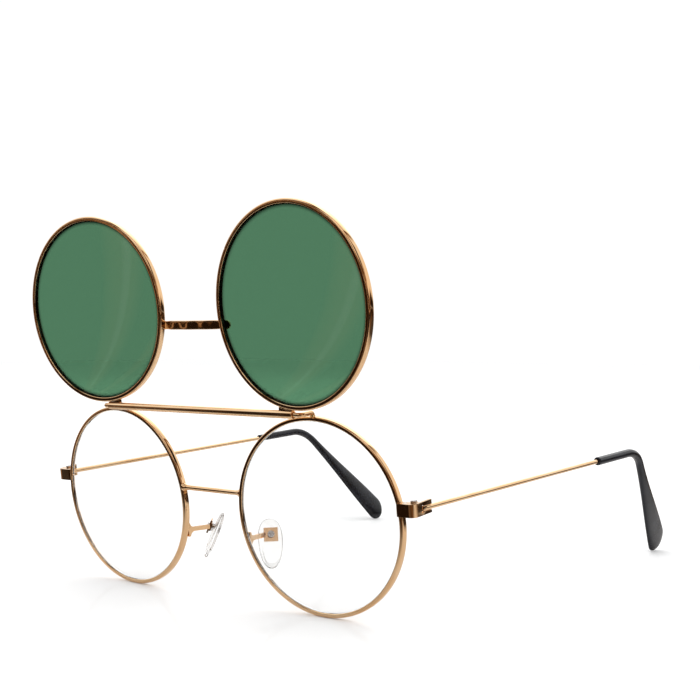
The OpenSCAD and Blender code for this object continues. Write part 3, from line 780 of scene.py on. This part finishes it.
def sleeve_part(start, along, tip_up):
    """The black tip: a blunt mouth, a straight stretch, the ear bend, and a leg that flattens and widens
    into a paddle. Its round end is sqrt(1 - t^2) of its height over the last half-height."""
    bend_end, end_start = bend_start + bend_len, TIP_LEN - PADDLE_HALF
    s = np.concatenate([
        [0.0, 1e-4, 0.04, 0.12, 0.25],
        np.linspace(0.5, bend_start, 24),
        np.linspace(bend_start, bend_end, 26)[1:],
        np.linspace(bend_end, end_start, 34)[1:],
        end_start + PADDLE_HALF * np.sin(np.linspace(0, np.pi / 2, 18))[1:],
    ])
    x, y = tip_line(s)
    end = np.clip((s - end_start) / PADDLE_HALF, 0, 1)
    cap = np.sqrt(np.clip(1 - end**2, 0.0006, 1))
    mouth = np.array([WIRE_R + 0.02, TIP_R - 0.16, TIP_R - 0.07, TIP_R - 0.02, TIP_R])
    widen = np.clip((s - end_start + PADDLE_GROW) / PADDLE_GROW, 0, 1)
    tall = (TIP_R + (PADDLE_HALF - TIP_R) * (0.5 * widen + 0.5 * smooth(widen))) * cap
    thin = (TIP_R + (TIP_THIN - TIP_R) * smooth((s - bend_start) / 30)) * np.sqrt(cap)
    tall[:5], thin[:5] = mouth, mouth
    path = start + TIP_START * along + x[:, None] * along + y[:, None] * tip_up
    upright = np.tile(tip_up[0] * ACROSS + tip_up[1] * BACK + tip_up[2] * UP, (len(s), 1))
    return carried(on_front(path), thin * MM, tall * MM, upright, power=2.3, around=44)


for side, sign in SIDES.items():
    along, above, tip_up = temple_directions(sign)
    start = np.array([sign * (FOLD[0] + WIRE_X), FOLD[1], FOLD[2]])
    body = f"temple_{side}"
    make_piece(f"temple_rod_{side}", [rod_part(start, along)], body, GOLD,
               [f"temple_wire_{side}"])
    make_piece(f"temple_tongue_{side}", [tongue_part(start, along, sign)], body, GOLD_WORKED)
    make_piece(f"temple_sleeve_{side}", [sleeve_part(start, along, tip_up)], body, ACETATE,
               [f"temple_tip_{side}"])

# %% [markdown]
# ## Nose pads
# A pad is a drop of silicone, wider at the top, with softly flattened faces. Rings of the drop
# outline are stacked from back to front, each scaled so that the edge is fully round. A small steel
# core that takes the screw is moulded in and shows through.

# %% Make the nose pads
PAD_LEN, PAD_W, PAD_THICK, PAD_RISE = 13.8, 6.6, 2.2, 4.9
PAD_BACK, PAD_IN, PAD_SPLAY = 20.0, 18.0, 38.0
PAD_LIFT = 1.15
CORE_R, CORE_H, CORE_FROM = 1.25, 1.5, 0.31


def pad_directions(sign):
    """Wide, long and facing directions of a pad on the front: splayed, leaned back, then leaned in."""
    frame_of = []
    for local in ([1.0, 0, 0], [0, 1.0, 0], [0, 0, 1.0]):
        v = turn(local, [1.0, 0, 0], 90)
        v = turn(v, [0, 0, 1.0], -90 - PAD_SPLAY)
        v = turn(v, [1.0, 0, 0], -PAD_BACK)
        v = turn(v, [0, 1.0, 0], -PAD_IN)
        frame_of.append(v * np.array([sign, 1, 1]))
    return frame_of


def pad_surface(sign):
    """Rings (w/2*C*(1 + 0.13*S), l/2*S)*grow at levels t from back to face, with C and S cos a and sin a to
    the power 0.88; grow = (1 - t^2)^0.35 rounds the edge, and the end rings shrink to a point."""
    wide, long, facing = pad_directions(sign)
    a = np.linspace(0, 2 * np.pi, 72, endpoint=False)[None, :]
    t = -np.cos(np.linspace(0, np.pi, 30))[:, None]
    grow = np.clip(1 - t * t, 0, 1) ** 0.35
    c = np.sign(np.cos(a)) * np.abs(np.cos(a)) ** 0.88
    s = np.sign(np.sin(a)) * np.abs(np.sin(a)) ** 0.88
    u = PAD_W / 2 * c * (1 + 0.13 * s) * grow
    v = PAD_LEN / 2 * s * grow - PAD_LEN / 2 + PAD_RISE
    level = np.broadcast_to(PAD_LIFT + PAD_THICK * (t + 1) / 2, u.shape)
    centre = PAD * np.array([sign, 1, 1])
    points = centre + u[..., None] * wide + v[..., None] * long + level[..., None] * facing
    return on_front(points).reshape(-1, 3), [grid_faces(30, 72, False, True)]


def pad_axis(sign):
    """The pad's screw line as an axis for turned surfaces."""
    wide, long, facing = pad_directions(sign)
    centre = on_front(PAD * np.array([sign, 1, 1]))
    return [centre] + [d[0] * ACROSS + d[1] * BACK + d[2] * UP for d in (wide, long, facing)]


core_top = CORE_FROM + CORE_H
core_profile = np.concatenate([
    [[0, CORE_FROM]],
    arc(CORE_R - 0.15, CORE_FROM + 0.15, 0.15, -90, 0, 5),
    arc(CORE_R - 0.3, core_top - 0.3, 0.3, 0, 90, 6),
    [[0, core_top]],
]) * MM
for side, sign in SIDES.items():
    make_piece(f"silicone_pad_{side}", [pad_surface(sign)], f"pad_{side}", SILICONE,
               [f"nose_pad_{side}"], sharp=60)
    make_piece(f"pad_core_{side}", [solid_turned(core_profile, pad_axis(sign), 48)], f"pad_{side}", STEEL,
               sharp=50)

# %% [markdown]
# ## Small metal parts
# End pieces, hinge leaves, locks, tabs, pad arms and screws keep their CAD shape, but no real part
# has a knife edge. So each is copied, its loose triangles are merged back into flat faces, and a
# fine bevel rounds every sharp edge, which is what catches the light.

# %% Soften the small parts
def softened(node, body, material, width):
    """A copy of a CAD node with its doubles merged, coplanar faces dissolved and a bevel of `width` mm."""
    source = frame["nodes"][node]
    mesh = source.data.copy()
    mesh.name = f"{node}_soft"
    work = bmesh.new()
    work.from_mesh(mesh)
    bmesh.ops.remove_doubles(work, verts=work.verts, dist=2e-6)
    bmesh.ops.dissolve_limit(work, angle_limit=math.radians(1.0), verts=work.verts, edges=work.edges)
    bmesh.ops.recalc_face_normals(work, faces=work.faces)
    work.to_mesh(mesh)
    work.free()
    for name in ("custom_normal", "sharp_edge", "sharp_face"):
        if name in mesh.attributes:
            mesh.attributes.remove(mesh.attributes[name])
    mesh.polygons.foreach_set("use_smooth", np.ones(len(mesh.polygons), dtype=bool))
    mesh.set_sharp_from_angle(angle=math.radians(30))
    mesh.materials.clear()
    mesh.materials.append(material)
    piece = bpy.data.objects.new(f"{node}_soft", mesh)
    bpy.context.scene.collection.objects.link(piece)
    edges = piece.modifiers.new("rounded_edges", "BEVEL")
    edges.width = width * MM
    edges.segments = 3
    edges.limit_method = "ANGLE"
    edges.angle_limit = math.radians(35)
    edges.harden_normals = True
    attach(piece, body)
    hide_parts(node)
    print(f"{piece.name}: {len(mesh.polygons)} faces before the bevel")
    return piece


for side in SIDES:
    softened(f"end_piece_{side}", "frame", GOLD, 0.12)
    softened(f"rim_lock_{side}", "frame", GOLD, 0.1)
    softened(f"temple_leaf_{side}", f"temple_{side}", GOLD_WORKED, 0.12)
    softened(f"flip_tab_{side}", "flip", GOLD, 0.1)
    softened(f"pad_arm_{side}", "frame", GOLD, 0.1)
    softened(f"pad_screw_{side}", "frame", STEEL, 0.1)
    softened(f"temple_screw_{side}", "frame", STEEL, 0.08)
    softened(f"rim_screw_{side}", "frame", STEEL, 0.05)

# %% [markdown]
# ## Floor and light
# The glasses stand on a white acrylic sheet that mirrors them faintly. The light is a bright white
# room. Polished metal shows only what surrounds it, and in an all-white room gold wire looks like
# flat paint. So mirror rays see another room: dark, with brown patches, windows and white panels.
# That is a studio trick and not a real place, so it suits the main camera best. The floor too is painted
# for mirror rays: painted shade with painted windows away from the glasses.

# %% Floor
# Colours of the dim room: the world's light for mirror rays, and painted shade with painted windows in the
# floor's colour.
ROOM_DARK = (0.022, 0.012, 0.007)
ROOM_BROWN = (0.36, 0.19, 0.08)
ROOM_WINDOW = (1.15, 1.08, 1.0)
ROOM_PATCHES, FLOOR_PATCHES = 2.6, 12.0
FLOOR_DARK_FROM, FLOOR_DARK_TO = -0.098, -0.135
FLOOR_ASIDE_FROM, FLOOR_ASIDE_TO = 0.11, 0.20
FLOOR_GLOSS = 0.05
CAMERA_SIDE = (math.cos(math.radians(CAMERA_TURN)), math.sin(math.radians(CAMERA_TURN)), 0.0)
STRIPES_ACROSS = (CAMERA_SIDE[0], -CAMERA_SIDE[1], 0.0)
STRIPES_FROM = 5.7
ROOM_FROM = (0.0, 0.0, 5.5)


def mirrored(tree):
    """1 for light that came off a mirror surface, through plastic or not; 0 for what is seen directly."""
    bounces = add(tree, "ShaderNodeLightPath").outputs["Glossy Depth"]
    return add(tree, "ShaderNodeMath", {0: bounces, 1: 1.0}, operation="MINIMUM").outputs[0]


def dim_room(tree, vector, scale):
    """The dim room from noise: dark, with warm brown patches and a few bright windows in them. In the world
    it is light; on the floor it is painted shade with painted windows.
    """
    noise = add(tree, "ShaderNodeTexNoise", {"Vector": vector, "Scale": scale, "Detail": 1.0})
    patches = noise.outputs["Fac"]
    brown = mix_colour(tree, spread(tree, patches, 0.46, 0.60, 0.0, 1.0), ROOM_DARK, ROOM_BROWN)
    return mix_colour(tree, spread(tree, patches, 0.61, 0.65, 0.0, 1.0), brown, ROOM_WINDOW)


def floor_material():
    """White acrylic: matt white with a faint even gloss. For mirror rays its colour is painted: white in
    the
    patch under the glasses, and painted shade with painted windows of the dim room elsewhere, in stripes:
    the mask is the larger of a step of -y and a step of the distance to the camera's side."""
    material = bpy.data.materials.new("white_floor")
    material.use_nodes = True
    tree = material.node_tree
    tree.nodes.remove(tree.nodes["Principled BSDF"])
    matt = add(tree, "ShaderNodeBsdfDiffuse")
    gloss = add(tree, "ShaderNodeBsdfAnisotropic", {"Color": (1.0, 1.0, 1.0, 1.0)})
    both = add(tree, "ShaderNodeMixShader", {0: FLOOR_GLOSS, 1: matt.outputs[0], 2: gloss.outputs[0]})
    tree.links.new(both.outputs[0], tree.nodes["Material Output"].inputs["Surface"])
    cloud = use_group(tree, CLOUDING, Size_per_m=6.0)
    white = mix_colour(tree, cloud.outputs["Cloud"], (0.955, 0.955, 0.96), (0.97, 0.97, 0.97))
    place = add(tree, "ShaderNodeTexCoord").outputs["Object"]
    forward = spread(tree, add(tree, "ShaderNodeSeparateXYZ", {0: place}).outputs["Y"],
                     FLOOR_DARK_FROM, FLOOR_DARK_TO, 0.0, 1.0)
    aside = add(tree, "ShaderNodeVectorMath", {0: place, 1: CAMERA_SIDE}, operation="DOT_PRODUCT")
    aside = add(tree, "ShaderNodeMath", {0: aside.outputs["Value"]}, operation="ABSOLUTE").outputs[0]
    aside = spread(tree, aside, FLOOR_ASIDE_FROM, FLOOR_ASIDE_TO, 0.0, 1.0)
    unlit = add(tree, "ShaderNodeMath", {0: forward, 1: aside}, operation="MAXIMUM")
    mask = add(tree, "ShaderNodeMath", {0: mirrored(tree), 1: unlit.outputs[0]}, operation="MULTIPLY")
    across = add(tree, "ShaderNodeVectorMath", {0: place, 1: STRIPES_ACROSS}, operation="DOT_PRODUCT")
    stripes = add(tree, "ShaderNodeCombineXYZ", {0: across.outputs["Value"], 1: STRIPES_FROM}).outputs[0]
    # Painted shade and painted windows in the floor's colour, seen only by mirror rays.
    seen = mix_colour(tree, mask.outputs[0], white, dim_room(tree, stripes, FLOOR_PATCHES))
    tree.links.new(seen, matt.inputs["Color"])
    marks = use_group(tree, POLISH, Marks_per_m=60.0, Base=0.03, Depth=0.03)
    tree.links.new(marks.outputs["Roughness"], gloss.inputs["Roughness"])
    return material


FLOOR_HALF = 3.0
corners = [(x * FLOOR_HALF, y * FLOOR_HALF, 0) for x, y in ((-1, -1), (1, -1), (1, 1), (-1, 1))]
floor_mesh = bpy.data.meshes.new("floor")
floor_mesh.from_pydata(corners, [], [(0, 1, 2, 3)])
floor_mesh.materials.append(floor_material())
floor = bpy.data.objects.new("floor", floor_mesh)
bpy.context.scene.collection.objects.link(floor)
floor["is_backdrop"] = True


# %% World
# The direction of each panel, the cosines at its rim and where it is fully bright, and its brightness.
ROOM_PANELS = [
    ((-0.62, 0.78, 0.0), 0.33, 0.60, 1.0),
    ((0.42, 0.80, 0.42), 0.925, 0.955, 1.1),
    ((0.0, 0.0, -1.0), 0.0, 0.05, 1.0),
    ((-0.9, -0.35, 0.75), 0.86, 0.93, 1.0),
    ((0.1, -0.5, 0.95), 0.95, 0.975, 1.0),
]


def panel(tree, direction, toward, low, high, brightness):
    """A soft round panel of the room: brightness where direction . toward passes from low to high."""
    toward = np.array(toward, dtype=float)
    toward /= np.linalg.norm(toward)
    dot = add(tree, "ShaderNodeVectorMath", {0: direction, 1: tuple(toward)}, operation="DOT_PRODUCT")
    return spread(tree, dot.outputs["Value"], low, high, 0.0, brightness)


def white_room():
    """A white room for everything but mirror rays. Those see the dim room with the panels in it: its
    brightness is the largest of the panels'."""
    world = bpy.data.worlds.new("white_room")
    bpy.context.scene.world = world
    world.use_nodes = True
    tree = world.node_tree
    background = tree.nodes["Background"]
    direction = add(tree, "ShaderNodeTexCoord").outputs["Generated"]
    level = None
    for toward, low, high, brightness in ROOM_PANELS:
        value = panel(tree, direction, toward, low, high, brightness)
        level = value if level is None else add(tree, "ShaderNodeMath", {0: level, 1: value},
                                                operation="MAXIMUM").outputs[0]
    moved = add(tree, "ShaderNodeVectorMath", {0: direction, 1: ROOM_FROM}, operation="ADD").outputs[0]
    room = mix_colour(tree, level, dim_room(tree, moved, ROOM_PATCHES), (1.1, 1.1, 1.1))
    colour = mix_colour(tree, mirrored(tree), (1.03, 1.03, 1.03), room)
    tree.links.new(colour, background.inputs["Color"])
    background.inputs["Strength"].default_value = 1.0
    world.cycles.sampling_method = "NONE"


white_room()


def bpy_matrix(x, y, z):
    """Rotation matrix with these columns."""
    return Matrix(np.stack([x, y, z], axis=1).tolist())


def soft_light(name, place, aim, size, power):
    """A square area light at a place, aimed at a point, in metres and watts."""
    light = bpy.data.lights.new(name, "AREA")
    light.size = size
    light.energy = power
    lamp = bpy.data.objects.new(name, light)
    lamp.location = place
    back = np.array(place, dtype=float) - np.array(aim, dtype=float)
    back /= np.linalg.norm(back)
    side = np.cross([0, 0, 1.0], back)
    side /= np.linalg.norm(side)
    top = np.cross(back, side)
    lamp.rotation_euler = bpy_matrix(side, top, back).to_euler()
    bpy.context.scene.collection.objects.link(lamp)


soft_light("key_softbox", (-0.5, 0.8, 1.4), (0, 0, 0.05), 1.8, 9)
soft_light("fill_softbox", (0.9, -0.5, 1.4), (0, 0, 0.05), 1.4, 4)
bpy.context.scene.view_settings.view_transform = "Standard"

# %% [markdown]
# ## Sizes of both models
# The boxes of the CAD model and of the visual model are printed side by side. The visual
# model may not outgrow the CAD model.

# %% Finish
look_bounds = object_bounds()
sizes = {
    "cad": [list(map(float, corner)) for corner in cad_bounds],
    "visual": [list(map(float, corner)) for corner in look_bounds],
}
for label, box in sizes.items():
    print(label, np.array(box).round(4).tolist())
